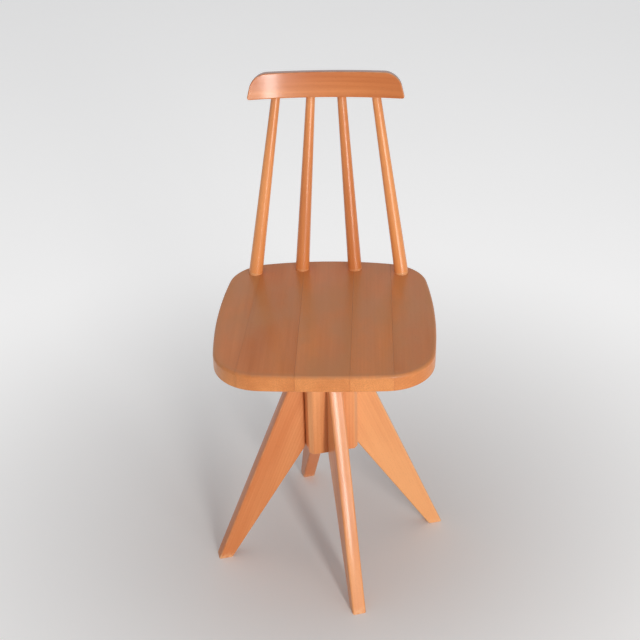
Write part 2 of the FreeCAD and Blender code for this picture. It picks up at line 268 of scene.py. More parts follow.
@dataclass(frozen=True)
class Beech:
    """Lacquered beech: its streaks, rings, flecks and pores, the wear of its lacquer, and painted shade and
    painted highlights.
    """

    name: str
    light: Colour
    dark: Colour
    worn_and_highlight: Colour
    # Colour of the faces painted darker: painted shade on the rail, a browner top on the seat.
    darker_face_light: Colour = (0.50, 0.20, 0.075)
    darker_face_dark: Colour = (0.40, 0.135, 0.040)
    haze: float = 0.75
    seam_dirt: float = 0.30
    dirt_shade: float = 0.55
    fleck_share: float = 0.20
    pore_share: float = 0.18
    drift: float = 1.1
    streak: float = 0.32
    figure: float = 0.05
    tone_span: tuple[float, float] = (0.38, 1.14)
    # Share of pale colour on arrises: wear, and on the rail a painted highlight line.
    arris_wear_and_highlight: float = 0.40
    worn_dulling: float = 0.10
    ripple_depth: float = 0.10 * MM
    rim_wear_and_highlight: float = 0.45
    roughness: float = 0.38
    gloss: float = 0.40
    coat: float = 0.30
    coat_roughness: float = 0.12
    scuffed_height: float = 0.0
    ring_spacing: float = 4.6 * MM
    ring_wander: float = 6 * MM

    def build(self) -> bpy.types.Material:
        """Make the material.

        Returns:
            A material that reads the layers of a wooden mesh.
        """
        shader = Shader(self.name)
        grain = shader.layer(Layer.GRAIN)
        tone = self._tone(shader, grain)
        colour = shader.mix(tone, self.light, self.dark)
        # Faces painted darker: painted shade on the rail's narrow faces, a darker, browner top on the seat.
        darker_face = shader.layer(Layer.DARKER_FACE)
        colour = shader.mix(darker_face, colour, self._darker_face(shader, grain, tone))
        shade = tuple(channel * self.dirt_shade for channel in self.dark)
        flecks = shader.noise(grain, (240.0, 1300.0, 1300.0), 1.0)
        flecks = shader.span(flecks, 0.60, 0.74, 0.0, self.fleck_share)
        pore = shader.span(shader.noise(grain, (38.0, 2100.0, 2100.0), 2.0), 0.62, 0.76)
        end = shader.layer(Layer.END)
        speckle = shader.span(shader.noise(grain, (300.0, 900.0, 900.0), 2.0), 0.40, 0.66, 0.05, 0.34)
        dirt = shader.layer(Layer.SEAM)
        for share in (
            flecks,
            shader.calc("MULTIPLY", pore, self.pore_share),
            shader.calc("MULTIPLY", end, speckle),
            shader.calc("MULTIPLY", dirt, self.seam_dirt),
        ):
            colour = shader.mix(share, colour, shade)
        # Wear, and painted highlights on the rail's arrises, the spindles' feet and the seat's rim.
        wear_and_highlight = self._wear_and_highlight(shader, grain)
        colour = shader.mix(wear_and_highlight, colour, self.worn_and_highlight)
        shader.feed(shader.surface.inputs["Base Color"], colour)
        smear = shader.noise(grain, (9.0, 30.0, 30.0), 3.0)
        dull = shader.calc("ADD", shader.span(smear, 0.35, 0.70, -0.05, 0.09), self.roughness)
        dull = shader.calc("ADD", dull, shader.calc("MULTIPLY", wear_and_highlight, self.worn_dulling))
        shader.feed(shader.surface.inputs["Roughness"], dull)
        ripple = shader.noise(grain, (24.0, 150.0, 150.0), 3.0)
        height = shader.calc("SUBTRACT", ripple, shader.calc("MULTIPLY", pore, 0.4))
        shader.bump(height, self.ripple_depth)
        shader.constants(
            ior=1.5,
            specular_ior_level=self.gloss,
            coat_weight=self.coat,
            coat_roughness=self.coat_roughness,
            coat_ior=1.5,
        )
        return shader.material

    def _tone(self, shader: Shader, grain: Socket) -> Socket:
        """Light and dark wood: slow drifts, fine streaks and faint growth rings.

        Args:
            shader: Material under construction.
            grain: Grain coordinates: along the fibres, across and through.

        Returns:
            0 in light wood to 1 in dark wood.
        """
        drift = shader.noise(grain, (2.6, 17.0, 17.0), 2.0)
        streaks = shader.noise(grain, (5.0, 190.0, 190.0), 3.0)
        rings = shader.calc("MULTIPLY", self._rings(shader, grain), self.figure)
        drift = shader.calc("MULTIPLY", drift, self.drift)
        tone = shader.calc("ADD", drift, shader.calc("MULTIPLY", streaks, self.streak))
        tone = shader.calc("ADD", tone, shader.layer(Layer.TONE))
        return shader.span(shader.calc("ADD", tone, rings), *self.tone_span)

    def _rings(self, shader: Shader, grain: Socket) -> Socket:
        """Growth rings round a pith that wanders along the board.

        Args:
            shader: Material under construction.
            grain: Grain coordinates: along the fibres, across and through.

        Returns:
            0 in early wood to 1 in late wood.
        """
        wander = shader.noise(grain, (1.6, 7.0, 7.0)).node.outputs["Color"]
        offset = shader.vector("SUBTRACT", wander, (0.5, 0.5, 0.5))
        offset = shader.vector("MULTIPLY", offset, (0.0, 4 * self.ring_wander, 4 * self.ring_wander))
        across = shader.vector("MULTIPLY", shader.vector("ADD", grain, offset), (0.0, 1.0, 1.0))
        reach = shader.node("ShaderNodeVectorMath", operation="LENGTH")
        shader.feed(reach.inputs[0], across)
        phase = shader.calc("MULTIPLY", reach.outputs["Value"], math.tau / self.ring_spacing)
        return shader.span(shader.calc("SINE", phase), -0.4, 1.0)

    def _darker_face(self, shader: Shader, grain: Socket, tone: Socket) -> Socket:
        """Colour of the faces painted darker, browner, with a dull haze in clouds; on the rail's narrow
        faces it is painted shade.

        Args:
            shader: Material under construction.
            grain: Grain coordinates.
            tone: Light and dark of the wood.

        Returns:
            The colour.
        """
        colour = shader.mix(tone, self.darker_face_light, self.darker_face_dark)
        clouds = shader.span(shader.noise(grain, (6.0, 9.0, 9.0), 4.0), 0.36, 0.62, 0.0, self.haze)
        return shader.mix(clouds, colour, self.worn_and_highlight)

    def _wear_and_highlight(self, shader: Shader, grain: Socket) -> Socket:
        """Pale, thin lacquer on arrises and rims and, where it is scuffed, above the floor; on the rail's
        arrises and the spindles' feet this pale colour is a painted highlight, and on the seat's rim partly
        one.

        Args:
            shader: Material under construction.
            grain: Grain coordinates.

        Returns:
            Share of worn surface and of painted highlight.
        """
        patches = shader.span(shader.noise(grain, (35.0, 90.0, 90.0), 4.0), 0.36, 0.64)
        # Arris and rim wear, which on the back and the seat also paint highlights.
        arris = shader.calc("MULTIPLY", shader.layer(Layer.ARRIS), self.arris_wear_and_highlight)
        rim = shader.calc("MULTIPLY", shader.layer(Layer.RIM), self.rim_wear_and_highlight)
        rim = shader.calc("MULTIPLY", rim, shader.span(patches, 0.0, 1.0, 0.6, 1.0))
        wear_and_highlight = shader.calc("ADD", shader.calc("MULTIPLY", arris, patches), rim)
        if self.scuffed_height:
            split = shader.node("ShaderNodeSeparateXYZ")
            shader.feed(split.inputs[0], shader.node("ShaderNodeTexCoord").outputs["Object"])
            low = shader.span(split.outputs["Z"], 0.0, self.scuffed_height, 0.7, 0.0)
            scuffs = shader.span(shader.noise(grain, (120.0, 200.0, 200.0), 3.0), 0.35, 0.60)
            wear_and_highlight = shader.calc("ADD", wear_and_highlight, shader.calc("MULTIPLY", low, scuffs))
        return shader.calc("MINIMUM", wear_and_highlight, 1.0)


@dataclass(frozen=True)
class Metal:
    """Turned or plated metal, or enamel over it."""

    name: str
    colour: Colour
    grime: Colour
    metallic: float = 1.0
    roughness: float = 0.34
    turned: bool = True
    coat: float = 0.0

    def build(self) -> bpy.types.Material:
        """Make the material.

        Returns:
            A material on object coordinates about the swivel axis.
        """
        shader = Shader(self.name)
        place = shader.node("ShaderNodeTexCoord").outputs["Object"]
        grime = shader.span(shader.noise(place, (60.0, 60.0, 60.0), 4.0), 0.42, 0.72, 0.0, 0.6)
        shader.feed(shader.surface.inputs["Base Color"], shader.mix(grime, self.colour, self.grime))
        marks = (8.0, 8.0, 2600.0) if self.turned else (420.0, 420.0, 420.0)
        lines = shader.noise(place, marks, 2.0)
        dull = shader.calc("ADD", shader.calc("MULTIPLY", grime, 0.25), self.roughness)
        shader.feed(
            shader.surface.inputs["Roughness"],
            shader.calc("ADD", dull, shader.span(lines, 0.3, 0.7, -0.06, 0.08)),
        )
        shader.bump(lines, 0.03 * MM)
        shader.constants(metallic=self.metallic, coat_weight=self.coat, coat_roughness=0.2)
        return shader.material


@dataclass(frozen=True)
class Palette:
    """Every finish of the chair, made once."""

    base: Beech = Beech(
        "honey beech of the base",
        light=(0.900, 0.410, 0.160),
        dark=(0.660, 0.205, 0.058),
        worn_and_highlight=(0.860, 0.480, 0.240),
        scuffed_height=14 * MM,
    )
    back: Beech = Beech(
        "orange beech of the back",
        light=(0.880, 0.340, 0.105),
        dark=(0.590, 0.160, 0.034),
        # Pale colour that paints highlights: the light line on the rail's arrises and the pale band at each
        # spindle's foot.
        worn_and_highlight=(0.880, 0.520, 0.270),
        # Painted shade on the rail's narrow faces.
        darker_face_light=(0.34, 0.125, 0.050),
        darker_face_dark=(0.24, 0.075, 0.028),
        haze=0.0,
        coat=0.45,
        coat_roughness=0.15,
    )
    seat: Beech = Beech(
        "worn beech of the seat",
        light=(0.860, 0.340, 0.105),
        dark=(0.640, 0.205, 0.052),
        # Worn rim, partly a painted highlight along the front arris.
        worn_and_highlight=(0.520, 0.215, 0.080),
        # Top painted darker and browner than the sides.
        darker_face_light=(0.700, 0.235, 0.068),
        darker_face_dark=(0.540, 0.155, 0.036),
        rim_wear_and_highlight=0.55,
        gloss=0.30,
        coat=0.20,
        coat_roughness=0.17,
    )
    dowel: Beech = Beech(
        "bare beech of the dowels",
        light=(0.66, 0.47, 0.29),
        dark=(0.5, 0.33, 0.18),
        worn_and_highlight=(0.7, 0.5, 0.3),
        coat=0.0,
        roughness=0.7,
    )
    screw: Metal = Metal("oiled steel of the screw", (0.42, 0.42, 0.43), (0.12, 0.10, 0.08))
    fixing: Metal = Metal(
        "plated steel of the fixings", (0.58, 0.58, 0.57), (0.30, 0.28, 0.24), turned=False
    )
    bronze: Metal = Metal("turned bronze of the bush", (0.60, 0.40, 0.17), (0.25, 0.15, 0.06))
    enamel: Metal = Metal(
        "black enamel of the flange",
        (0.020, 0.020, 0.021),
        (0.050, 0.046, 0.040),
        metallic=0.0,
        roughness=0.38,
        turned=False,
        coat=0.3,
    )


# Woodwork


def clamped(value: float) -> float:
    """Value held from 0 to 1."""
    return min(1.0, max(0.0, value))


def rise(edge: Edge) -> float:
    """How far an edge goes up or down."""
    return abs(edge.verts[0].co.z - edge.verts[1].co.z)


def run(edge: Edge) -> float:
    """How far an edge goes to the front or back."""
    return abs(edge.verts[0].co.y - edge.verts[1].co.y)


def level_edges(bm: Mesh, level: float) -> list[Edge]:
    """Edges of a mesh that lie at one level."""
    return [e for e in bm.edges if all(abs(v.co.z - level) < SAME_PLACE for v in e.verts)]


def eased(bm: Mesh, edges: Iterable[Edge], setback: float, segments: int) -> None:
    """Round edges over from a line at one distance from them.

    Args:
        bm: Mesh that holds them.
        edges: Edges to round.
        setback: Distance from the edge where the rounding starts.
        segments: Facets across it.
    """
    bmesh.ops.bevel(
        bm,
        geom=list(edges),
        offset=setback,
        offset_type="OFFSET",
        segments=segments,
        profile=0.5,
        affect="EDGES",
        material=-1,
        clamp_overlap=True,
    )


def round_over(bm: Mesh, edges: Iterable[Edge], radius: float, segments: int) -> None:
    """Round edges that meet at one angle to a radius.

    Args:
        bm: Mesh that holds them.
        edges: Edges to round.
        radius: Radius of the rounding.
        segments: Facets across it.
    """
    edges = list(edges)
    eased(bm, edges, radius * math.tan(edges[0].calc_face_angle() / 2), segments)


def sweep(bm: Mesh, start: Vert, centre: Vector, end: Vector, steps: int) -> Vert:
    """Draw an arc in plan from a vertex to a point, counter-clockwise.

    Args:
        bm: Mesh to draw in.
        start: Vertex that the arc starts from.
        centre: Centre of the arc.
        end: Point where it ends.
        steps: Straight pieces in it.

    Returns:
        The arc's last vertex.
    """
    first = start.co - centre
    last = end - centre
    angle = math.atan2(last.y, last.x) - math.atan2(first.y, first.x)
    drawn = bmesh.ops.spin(
        bm,
        geom=[start],
        cent=centre,
        axis=(0, 0, 1),
        angle=angle % math.tau,
        steps=steps,
        use_duplicate=False,
    )
    return next(item for item in drawn["geom_last"] if isinstance(item, Vert))


def sawn(bm: Mesh, place: Vector, normal: Vector, clear: int = 0) -> list[Edge]:
    """Cut a mesh along a plane.

    Args:
        bm: Mesh to cut.
        place: Point of the plane.
        normal: Direction across the plane.
        clear: 1 or -1 to drop the part on that side of it, 0 to keep both.

    Returns:
        The edges along the cut.
    """
    cut = bmesh.ops.bisect_plane(
        bm,
        geom=bm.verts[:] + bm.edges[:] + bm.faces[:],
        dist=CUT_REACH,
        plane_co=place,
        plane_no=normal,
        clear_inner=clear < 0,
        clear_outer=clear > 0,
    )
    return [item for item in cut["geom_cut"] if isinstance(item, Edge)]


def extruded(bm: Mesh, along: Vector) -> None:
    """Extrude a flat outline and keep it as the other end of the solid.

    Args:
        bm: Mesh that holds its faces and no others.
        along: Direction and length.
    """
    made = bmesh.ops.extrude_face_region(bm, geom=bm.faces[:], use_keep_orig=True)
    moved = [item for item in made["geom"] if isinstance(item, Vert)]
    bmesh.ops.translate(bm, verts=moved, vec=along)
    bmesh.ops.recalc_face_normals(bm, faces=bm.faces)


@dataclass
class WoodPiece:
    """One wooden piece in its own frame, named after the frame node that it stands for."""

    node: str
    bm: Mesh
    grain: GrainMap
    fibre: Vector
    through: Vector
    rim: Gauge = lambda place: 0.0
    seam: Gauge = lambda place: 0.0
    # Share of the darker face colour: painted shade on the rail's narrow faces, the darker top on the seat.
    darker_face: Gauge = lambda place: 0.0
    tone: float = 0.0
    bend: Callable[[Vector], Vector] = lambda place: place
    arris_span: float = 0.22

    def finish(self, place: Matrix, body: Body, slot: str, material: bpy.types.Material) -> None:
        """Store the layers, put the piece in its place and dress it.

        Args:
            place: From the piece's own frame to the chair's.
            body: Body that it rides on.
            slot: Material slot of the record; not used.
            material: Its finish.
        """
        bm = self.bm
        bmesh.ops.recalc_face_normals(bm, faces=bm.faces)
        bm.normal_update()
        grain = bm.verts.layers.float_vector.new(Layer.GRAIN.value)
        others = [layer for layer in Layer if layer is not Layer.GRAIN]
        layers = {layer: bm.verts.layers.float.new(layer.value) for layer in others}
        for vert in bm.verts:
            along = vert.normal.dot(self.through)
            flatness = max(abs(along), (vert.normal - self.through * along).length)
            vert[grain] = self.grain(vert.co)
            vert[layers[Layer.ARRIS]] = clamped((FLAT - flatness) / self.arris_span)
            vert[layers[Layer.END]] = abs(vert.normal.dot(self.fibre)) ** 2
            vert[layers[Layer.RIM]] = self.rim(vert.co)
            vert[layers[Layer.SEAM]] = self.seam(vert.co)
            vert[layers[Layer.DARKER_FACE]] = self.darker_face(vert.co)
            vert[layers[Layer.TONE]] = self.tone
        for vert in bm.verts:
            vert.co = self.bend(vert.co)
        bmesh.ops.transform(bm, matrix=place, verts=bm.verts)
        bmesh.ops.recalc_face_normals(bm, faces=bm.faces)
        for face in bm.faces:
            face.smooth = True
        name = f"{self.node}.wood"
        mesh = bpy.data.meshes.new(name)
        bm.to_mesh(mesh)
        bm.free()
        made = bpy.data.objects.new(name, mesh)
        bpy.context.scene.collection.objects.link(made)
        shading = made.modifiers.new("even shading", "WEIGHTED_NORMAL")
        shading.weight = 100
        shading.keep_sharp = True
        made.data.materials.append(material)
        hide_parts(self.node)
        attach(made, body.value)
        log.info("%s: %d faces", name, len(mesh.polygons))


@dataclass(frozen=True)
class Arc:
    """Arc of an outline in plan, drawn counter-clockwise."""

    centre: Vector
    start: Vector
    end: Vector
    steps: int

    def depth(self, place: Vector) -> float:
        """How far inside the arc a point lies.

        Args:
            place: Point at the outline's level.

        Returns:
            The distance, or infinity where the point doesn't face the arc.
        """
        first = self.start - self.centre
        last = self.end - self.centre
        out = place - self.centre
        faces = first.cross(out).z >= -1e-9 and out.cross(last).z >= -1e-9
        return first.length - out.length if faces else math.inf


@dataclass
class Seat:
    """Flat seat of five glued staves under one rounded outline."""

    axis: Vector
    material: bpy.types.Material
    widest_ahead: float = 18 * MM
    side_radius: float = 950 * MM
    front_radius: float = 1770 * MM
    back_radius: float = 550 * MM
    front_corner: float = 76 * MM
    back_corner: float = 72 * MM
    top_round: float = 4.5 * MM
    bottom_round: float = 3.0 * MM
    seam_round: float = 0.45 * MM
    top_facets: int = 6
    bottom_facets: int = 4
    seam_facets: int = 2
    rim_width: float = 9 * MM
    seams: tuple[tuple[float, float], ...] = (
        (-128.5 * MM, -111.0 * MM),
        (-40.5 * MM, -41.0 * MM),
        (40.0 * MM, 42.5 * MM),
        (104.0 * MM, 104.0 * MM),
    )
    piths: tuple[tuple[float, float], ...] = (
        (0.020, 0.150),
        (0.006, 0.062),
        (-0.012, 0.110),
        (0.075, 0.048),
        (-0.018, 0.085),
    )
    grain_shift: float = 40.0
    tones: tuple[float, ...] = (0.02, 0.08, 0.00, 0.10, -0.02)
    nodes: tuple[str, ...] = tuple(f"seat_stave_{number}" for number in range(1, 6))

    def __post_init__(self) -> None:
        """Read the seat's outer sizes from the frame and work out its outline."""
        boxes = [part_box(node) for node in self.nodes]
        low = Vector([min(box[0][i] for box in boxes) for i in range(3)]) - self.axis
        high = Vector([max(box[1][i] for box in boxes) for i in range(3)]) - self.axis
        self.half_width = (high.x - low.x) / 2
        self.front = low.y
        self.back = high.y
        self.top = high.z
        self.thickness = high.z - low.z
        self.half_outline = self._arcs()

    def _arcs(self) -> list[Arc]:
        """Right half of the outline, from the middle of the front to the middle of the back."""
        front_edge = Vector((0, self.front, self.top))
        back_edge = Vector((0, self.back, self.top))
        front = front_edge + Vector((0, self.front_radius, 0))
        back = back_edge - Vector((0, self.back_radius, 0))
        side = Vector((self.half_width - self.side_radius, -self.widest_ahead, self.top))
        front_turn, front_leave, side_meet = self._corner(
            (front, self.front_radius), (side, self.side_radius), self.front_corner, -1
        )
        back_turn, side_leave, back_meet = self._corner(
            (side, self.side_radius), (back, self.back_radius), self.back_corner, 1
        )
        return [
            Arc(front, front_edge, front_leave, 10),
            Arc(front_turn, front_leave, side_meet, 22),
            Arc(side, side_meet, side_leave, 16),
            Arc(back_turn, side_leave, back_meet, 22),
            Arc(back, back_meet, back_edge, 10),
        ]

    def _corner(
        self, first: tuple[Vector, float], second: tuple[Vector, float], corner: float, side: int
    ) -> tuple[Vector, Vector, Vector]:
        """Arc that rounds two arcs into each other.

        Args:
            first: Centre and radius of the first arc.
            second: Centre and radius of the second arc.
            corner: Radius of the rounding.
            side: -1 at the seat's front, 1 at its back.

        Returns:
            Centre of the rounding, and where it meets the first and the second arc.
        """
        across = second[0] - first[0]
        reach = first[1] - corner
        along = (reach**2 - (second[1] - corner) ** 2 + across.length_squared) / (2 * across.length)
        aside = math.sqrt(reach**2 - along**2)
        unit = across.normalized()
        sideways = Vector((-unit.y, unit.x, 0))
        places = [first[0] + unit * along + sideways * aside * sign for sign in (1, -1)]
        centre = max(places, key=lambda place: place.x + side * place.y)
        meets = [far + (centre - far).normalized() * radius for far, radius in (first, second)]
        return centre, *meets

    def _panel(self) -> Mesh:
        """Whole seat before it is cut into staves."""
        bm = bmesh.new()
        vert = bm.verts.new(self.half_outline[0].start)
        for arc in self.half_outline:
            vert = sweep(bm, vert, arc.centre, arc.end, arc.steps)
        bmesh.ops.mirror(bm, geom=bm.verts[:] + bm.edges[:], axis="X", merge_dist=SAME_PLACE)
        bmesh.ops.remove_doubles(bm, verts=bm.verts, dist=SAME_PLACE)
        bmesh.ops.contextual_create(bm, geom=bm.edges[:])
        extruded(bm, Vector((0, 0, -self.thickness)))
        for level, radius, segments in (
            (self.top, self.top_round, self.top_facets),
            (self.top - self.thickness, self.bottom_round, self.bottom_facets),
        ):
            round_over(bm, level_edges(bm, level), radius, segments)
        flat = max((f for f in bm.faces if f.normal.z > FLAT), key=lambda f: f.calc_area())
        bmesh.ops.inset_region(bm, faces=[flat], thickness=self.rim_width, use_even_offset=True)
        return bm

    def _on_top(self, place: Vector) -> float:
        """1 on the top and 0 below its rounded arris."""
        return clamped(1 - (self.top - place.z - self.seam_round) / self.top_round)

    def _rim(self, place: Vector) -> float:
        """1 on the rounded arris, fading out a little way in from it and down from it: the seat's worn rim,
        which also paints a highlight along the arris.
        """
        level = Vector((abs(place.x), place.y, self.top))
        depth = min(arc.depth(level) for arc in self.half_outline)
        inside = (self.top_round + self.rim_width - depth) / self.rim_width
        return clamped(inside) * self._on_top(place)

    def build(self) -> None:
        """Cut the panel into its staves and dress each one."""
        panel = self._panel()
        beyond = self.half_width * 2
        lines = [(-beyond, -beyond), *self.seams, (beyond, beyond)]
        for node, left, right, pith, tone in zip(self.nodes, lines, lines[1:], self.piths, self.tones):
            stave = panel.copy()
            self._cut(stave, left, keep_right=True)
            self._cut(stave, right, keep_right=False)
            middle = (max(left[0], -self.half_width) + min(right[0], self.half_width)) / 2

            def grain(place: Vector, middle: float = middle, pith: tuple[float, float] = pith) -> Vector:
                """Grain from front to back, with the pith above or below the stave."""
                across = place.x - middle + pith[0]
                return Vector((place.y + pith[1] * self.grain_shift, across, place.z - self.top + pith[1]))

            def seam(place: Vector, both: tuple[tuple[float, float], ...] = (left, right)) -> float:
                """1 at the bottom of a glue line's groove."""
                nearest = min(abs(self._off_line(place, line)) for line in both)
                return max(0.0, 1 - nearest / self.seam_round)

            piece = WoodPiece(
                node,
                stave,
                grain,
                fibre=Vector((0, 1, 0)),
                through=UP,
                rim=self._rim,
                seam=seam,
                # The seat's top is painted darker and browner than its sides.
                darker_face=self._on_top,
                tone=tone,
            )
            piece.finish(Matrix.Translation(self.axis), Body.SEAT, "seat_wood", self.material)
        panel.free()

    def _line_normal(self, line: tuple[float, float]) -> Vector:
        """Level normal of a glue line, towards the right."""
        return Vector((self.back - self.front, line[0] - line[1], 0)).normalized()

    def _off_line(self, place: Vector, line: tuple[float, float]) -> float:
        """Distance of a point to the right of a glue line."""
        return (place - Vector((line[0], self.front, place.z))).dot(self._line_normal(line))

    def _cut(self, stave: Mesh, line: tuple[float, float], keep_right: bool) -> None:
        """Cut a stave along a glue line and ease its edges.

        Args:
            stave: Mesh to cut.
            line: Place of the glue line at the seat's front and at its back.
            keep_right: Whether the part to the right of the line stays.
        """
        if abs(line[0]) > self.half_width:
            return
        clear = -1 if keep_right else 1
        edges = sawn(stave, Vector((line[0], self.front, 0)), self._line_normal(line), clear)
        wall = bmesh.ops.contextual_create(stave, geom=edges)["faces"][0]
        bmesh.ops.recalc_face_normals(stave, faces=stave.faces)
        eased(stave, wall.edges, self.seam_round, self.seam_facets)


@dataclass
class Back:
    """Four turned spindles under a bent crest rail."""

    axis: Vector
    material: bpy.types.Material
    foot_places: tuple[tuple[float, float], ...] = ((121.6 * MM, 139.6 * MM), (44.1 * MM, 153.6 * MM))
    top_places: tuple[float, ...] = (80.2 * MM, 24.8 * MM)
    foot_radius: float = 11.5 * MM
    top_radius: float = 7.25 * MM
    tones: tuple[float, ...] = (-0.32, -0.16, -0.06, -0.14, 0.30)
    foot_sink: float = 4 * MM
    top_sink: float = 3 * MM
    base_ring: float = 1.4 * MM
    facets: int = 48
    spindle_cuts: int = 11
    lean: float = math.radians(9.5)
    rise: float = 289.5 * MM
    rail_width: float = 250.5 * MM
    rail_height: float = 40.5 * MM
    rail_thickness: float = 19 * MM
    bend_radius: float = 370 * MM
    end_lean: float = math.radians(14)
    top_corner: float = 27.5 * MM
    bottom_corner: float = 4 * MM
    rail_round: float = 2 * MM
    top_corner_facets: int = 18
    bottom_corner_facets: int = 5
    rail_facets: int = 4
    rail_stations: int = 40

    def __post_init__(self) -> None:
        """Read the seat's level from the frame and work out the rail's place."""
        self.seat_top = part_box("seat_stave_3")[1][2] - self.axis.z
        foot = Vector((0, self.foot_places[1][1], self.seat_top))
        up = Vector((0, math.sin(self.lean), math.cos(self.lean)))
        through = Vector((0, math.cos(self.lean), -math.sin(self.lean)))
        corner = foot + up * self.rise - through * (self.rail_thickness / 2)
        self.rail_place = Matrix.Translation(corner) @ Matrix.Rotation(-self.lean, 4, "X")

    def _bent(self, place: Vector) -> Vector:
        """Point of the flat rail after it is bent hollow to the front."""
        radius = self.bend_radius + place.y
        return Vector((place.x, math.sqrt(radius**2 - place.x**2) - self.bend_radius, place.z))

    def _darker_face(self, place: Vector) -> float:
        """1 on the rail's narrow faces above its foot, where shade is painted, and 0 on its broad faces."""
        from_face = min(place.y, self.rail_thickness - place.y)
        narrow = clamped((from_face - 0.1 * self.rail_round) / (0.8 * self.rail_round))
        return narrow * clamped(place.z / self.bottom_corner - 0.5)

    def build(self) -> None:
        """Model and dress the spindles and the rail."""
        outer, inner = zip(self.foot_places, self.top_places)
        order = [(-1, *outer), (-1, *inner), (1, *inner), (1, *outer)]
        for number, (side, foot, top) in enumerate(order, 1):
            self._spindle(number, Vector((side * foot[0], foot[1], self.seat_top)), side * top)
        self._rail()

    def _spindle(self, number: int, foot: Vector, top_x: float) -> None:
        """Turn one spindle from its foot to the rail.

        Args:
            number: Place from left to right.
            foot: Centre of its foot on the seat.
            top_x: Place of its top along the rail.
        """
        top = self.rail_place @ self._bent(Vector((top_x, self.rail_thickness / 2, 0)))
        length = (top - foot).length
        taper = (self.foot_radius - self.top_radius) / length
        low = (self.foot_radius + taper * self.foot_sink, -self.foot_sink)
        high = (self.top_radius - taper * self.top_sink, length + self.top_sink)
        bm = bmesh.new()
        corners = [(0, low[1]), low, high, (0, high[1])]
        verts = [bm.verts.new((x, 0, z)) for x, z in corners]
        edges = [bm.edges.new(pair) for pair in zip(verts, verts[1:])]
        bmesh.ops.subdivide_edges(bm, edges=[edges[1]], cuts=self.spindle_cuts)
        # Loops that hold the painted highlight's band at the foot.
        for level in (self.base_ring, self.base_ring * 1.5):
            sawn(bm, Vector((0, 0, level)), UP)
        bmesh.ops.spin(
            bm,
            geom=bm.verts[:] + bm.edges[:],
            cent=(0, 0, 0),
            axis=(0, 0, 1),
            angle=math.tau,
            steps=self.facets,
            use_merge=True,
        )
        bmesh.ops.remove_doubles(bm, verts=bm.verts, dist=SAME_PLACE)
        bmesh.ops.recalc_face_normals(bm, faces=bm.faces)
        aim = (top - foot).to_track_quat("Z", "Y").to_matrix().to_4x4()
        shift = 0.4 * number

        def grain(place: Vector) -> Vector:
            """Grain along the spindle, with the pith outside it."""
            return Vector((place.z + shift, place.x + 0.020 + 0.004 * number, place.y + 0.030))

        piece = WoodPiece(
            f"back_spindle_{number}",
            bm,
            grain,
            fibre=UP,
            through=UP,
            # Painted highlight: the pale band round the spindle's foot.
            rim=lambda place: 1.0 if place.z < self.base_ring * 1.1 else 0.0,
            tone=self.tones[number - 1],
        )
        piece.finish(Matrix.Translation(self.axis + foot) @ aim, Body.SEAT, "back_wood", self.material)

    def _rail(self) -> None:
        """Shape the rail flat, then bend it and set it on the spindles."""
        bm = bmesh.new()
        half = self.rail_width / 2
        high = self.rail_height
        drawn_in = high * math.tan(self.end_lean)
        outline = [(-half, 0), (half, 0), (half - drawn_in, high), (drawn_in - half, high)]
        bm.faces.new([bm.verts.new((x, 0, z)) for x, z in outline])
        extruded(bm, Vector((0, self.rail_thickness, 0)))
        for level, radius, segments in (
            (high, self.top_corner, self.top_corner_facets),
            (0.0, self.bottom_corner, self.bottom_corner_facets),
        ):
            through = [
                e
                for e in level_edges(bm, level)
                if run(e) > self.rail_thickness * 0.9
            ]
            round_over(bm, through, radius, segments)
        sides = [e for e in bm.edges if run(e) < SAME_PLACE]
        round_over(bm, sides, self.rail_round, self.rail_facets)
        for station in range(1, self.rail_stations):
            along = self.rail_width * (station / self.rail_stations - 0.5)
            sawn(bm, Vector((along, 0, 0)), Vector((1, 0, 0)))
        piece = WoodPiece(
            "crest_rail",
            bm,
            lambda place: Vector((place.x + 3.0, place.z + 0.010, place.y + 0.055)),
            fibre=Vector((1, 0, 0)),
            through=Vector((0, 1, 0)),
            # Painted shade on the rail's narrow faces.
            darker_face=self._darker_face,
            tone=self.tones[-1],
            bend=self._bent,
        )
        place = Matrix.Translation(self.axis) @ self.rail_place
        piece.finish(place, Body.SEAT, "back_wood", self.material)


